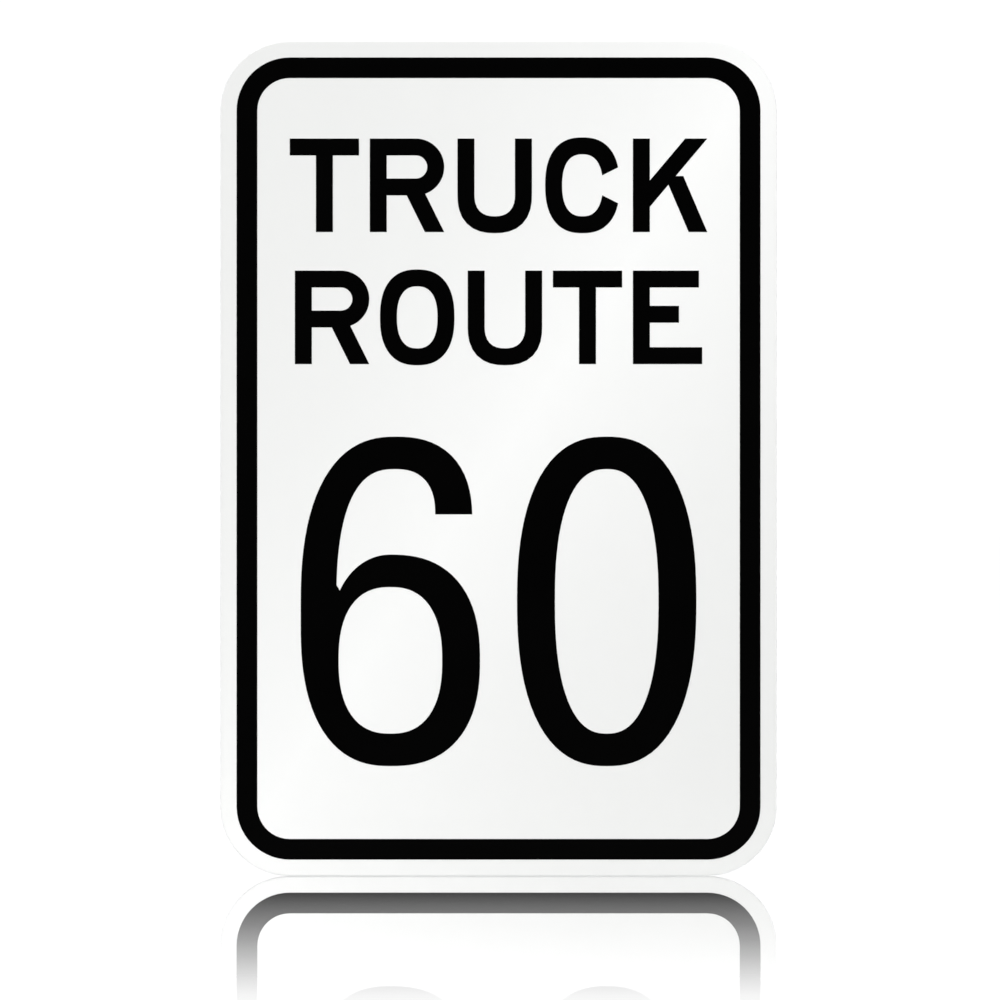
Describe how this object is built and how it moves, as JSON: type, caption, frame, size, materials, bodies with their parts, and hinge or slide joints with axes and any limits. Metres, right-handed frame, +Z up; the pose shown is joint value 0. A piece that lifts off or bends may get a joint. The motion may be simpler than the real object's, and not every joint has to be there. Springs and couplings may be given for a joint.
{
  "type": "post-mounted road sign",
  "caption": "Upright rectangular road sign plate with rounded corners and a black border, carried by sliding rail clips that grip a round post.",
  "frame": {"origin": "on the post's axis, midway in height between the two clips, which is also the height of the plate's centre", "axes": "+Z up along the post; the sign's face looks along -Y; +X is to the right of someone reading the sign"},
  "size_m": [0.3048, 0.0786, 0.4572],
  "materials": {
    "plate_aluminium": "rolled mill finish",
    "white_sheeting": "satin retroreflective film",
    "black_film": "satin cut film",
    "rail_aluminium": "extruded, with die lines",
    "foam_tape": "closed-cell foam",
    "cap_plastic": "moulded, fine texture",
    "galvanised_steel": "hot-dip galvanised",
    "plated_steel": "bright zinc plate"
  },
  "bodies": {
    "sign": {"sign_plate": "plate_aluminium", "face_sheeting": "white_sheeting", "border_film": "black_film", "upper_letter_t": "black_film", "upper_letter_r": "black_film", "upper_letter_u": "black_film", "upper_letter_c": "black_film", "upper_letter_k": "black_film", "lower_letter_r": "black_film", "lower_letter_o": "black_film", "lower_letter_u": "black_film", "lower_letter_t": "black_film", "lower_letter_e": "black_film", "numeral_6": "black_film", "numeral_0": "black_film", "upper_rail": "rail_aluminium", "lower_rail": "rail_aluminium", "upper_rail_tape": "foam_tape", "lower_rail_tape": "foam_tape", "upper_left_end_cap": "cap_plastic", "upper_right_end_cap": "cap_plastic", "lower_left_end_cap": "cap_plastic", "lower_right_end_cap": "cap_plastic"},
    "upper_bolts": {"upper_left_bolt": "plated_steel", "upper_right_bolt": "plated_steel"},
    "upper_clip": {"upper_strap": "galvanised_steel", "upper_left_washer": "plated_steel", "upper_right_washer": "plated_steel"},
    "upper_left_nut": {"upper_left_nut": "plated_steel"},
    "upper_right_nut": {"upper_right_nut": "plated_steel"},
    "lower_bolts": {"lower_left_bolt": "plated_steel", "lower_right_bolt": "plated_steel"},
    "lower_clip": {"lower_strap": "galvanised_steel", "lower_left_washer": "plated_steel", "lower_right_washer": "plated_steel"},
    "lower_left_nut": {"lower_left_nut": "plated_steel"},
    "lower_right_nut": {"lower_right_nut": "plated_steel"}
  },
  "joints": [
    {"name": "upper_rail_slide", "type": "slide", "parent": "sign", "child": "upper_bolts", "axis": [1, 0, 0], "range_m": [-0.0685, 0.0685]},
    {"name": "upper_clip_travel", "type": "slide", "parent": "upper_bolts", "child": "upper_clip", "axis": [0, 1, 0], "range_m": [-0.0025, 0.005]},
    {"name": "upper_left_nut_turn", "type": "hinge", "parent": "upper_clip", "child": "upper_left_nut", "pos_m": [-0.0462, -0.0226, 0.1386], "axis": [0, 1, 0], "range_deg": [-725, 1445]},
    {"name": "upper_right_nut_turn", "type": "hinge", "parent": "upper_clip", "child": "upper_right_nut", "pos_m": [0.0462, -0.0226, 0.1386], "axis": [0, 1, 0], "range_deg": [-725, 1445]},
    {"name": "lower_rail_slide", "type": "slide", "parent": "sign", "child": "lower_bolts", "axis": [1, 0, 0], "range_m": [-0.0685, 0.0685]},
    {"name": "lower_clip_travel", "type": "slide", "parent": "lower_bolts", "child": "lower_clip", "axis": [0, 1, 0], "range_m": [-0.0025, 0.005]},
    {"name": "lower_left_nut_turn", "type": "hinge", "parent": "lower_clip", "child": "lower_left_nut", "pos_m": [-0.0462, -0.0226, -0.1386], "axis": [0, 1, 0], "range_deg": [-725, 1445]},
    {"name": "lower_right_nut_turn", "type": "hinge", "parent": "lower_clip", "child": "lower_right_nut", "pos_m": [0.0462, -0.0226, -0.1386], "axis": [0, 1, 0], "range_deg": [-725, 1445]}
  ],
  "couplings": [
    {"joint": "upper_left_nut_turn", "follows": "upper_clip_travel", "rad_per_m": 5026.5},
    {"joint": "upper_right_nut_turn", "follows": "upper_clip_travel", "rad_per_m": 5026.5},
    {"joint": "lower_left_nut_turn", "follows": "lower_clip_travel", "rad_per_m": 5026.5},
    {"joint": "lower_right_nut_turn", "follows": "lower_clip_travel", "rad_per_m": 5026.5}
  ]
}
